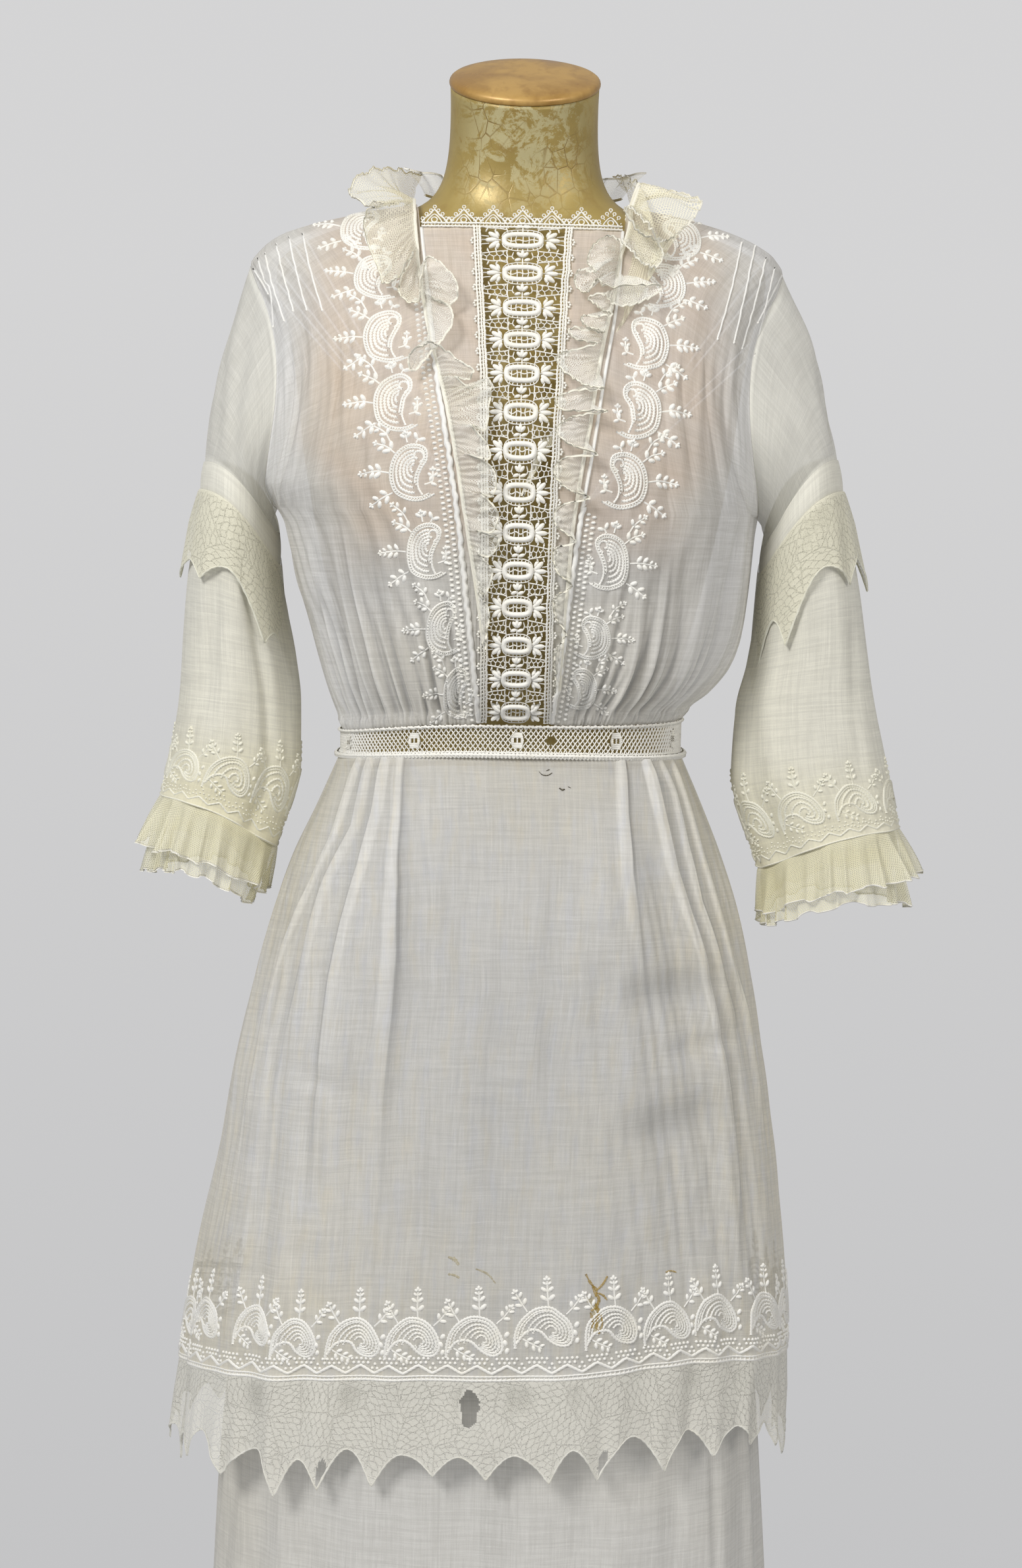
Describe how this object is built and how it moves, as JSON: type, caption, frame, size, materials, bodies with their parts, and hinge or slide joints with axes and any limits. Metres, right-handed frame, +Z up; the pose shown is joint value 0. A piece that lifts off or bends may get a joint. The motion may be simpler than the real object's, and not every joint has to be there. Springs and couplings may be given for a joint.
{
  "type": "embroidered cotton dress on a limbless dress form with stand",
  "caption": "Long lawn dress with lace front panel, net frills, elbow sleeves and tunic skirt, standing on a limbless dress form with pole and round base.",
  "frame": {"origin": "middle of the whole part's box, on the surface that the base stands on", "axes": "+Z up along the pole, the dress front looks along -Y, +X is to the viewer's right"},
  "size_m": [0.5723, 0.3714, 1.5357],
  "materials": {
    "lawn_white": "fine sheer cotton lawn, matt",
    "lawn_cream": "fine cotton lawn, aged to cream, matt",
    "lace": "cotton thread lace and lattice insertion",
    "net": "soft cotton net, aged",
    "form_gold": "worn gold paint over papier-mache",
    "cap_lacquer": "lacquered gold disc",
    "stand_iron": "black enamel"
  },
  "bodies": {
    "root": {"form_torso": "form_gold", "form_neck_cap": "cap_lacquer", "stand_base": "stand_iron", "stand_pole": "stand_iron", "stand_collar": "stand_iron", "bodice_front_left": "lawn_white", "bodice_front_right": "lawn_white", "bodice_back_left": "lawn_white", "bodice_back_right": "lawn_white", "inset_left": "lawn_white", "inset_right": "lawn_white", "strip_left": "lawn_white", "strip_right": "lawn_white", "lace_panel": "lace", "lace_braid_left": "lace", "lace_braid_right": "lace", "neck_edging": "lace", "ruffle_left": "net", "ruffle_right": "net", "ruffle_back": "net", "sleeve_upper_left": "lawn_cream", "sleeve_upper_right": "lawn_cream", "sleeve_band_left": "lawn_cream", "sleeve_band_right": "lawn_cream", "sleeve_lower_left": "lawn_cream", "sleeve_lower_right": "lawn_cream", "sleeve_lace_left": "lace", "sleeve_lace_right": "lace", "cuff_ruffle_upper_left": "net", "cuff_ruffle_upper_right": "net", "cuff_ruffle_lower_left": "net", "cuff_ruffle_lower_right": "net", "waistband_front": "lace", "waistband_back": "lace", "tunic_front": "lawn_white", "tunic_back": "lawn_white", "tunic_lace_front": "lace", "tunic_lace_back": "lace", "underskirt_front": "lawn_white", "underskirt_back": "lawn_white"}
  },
  "joints": []
}
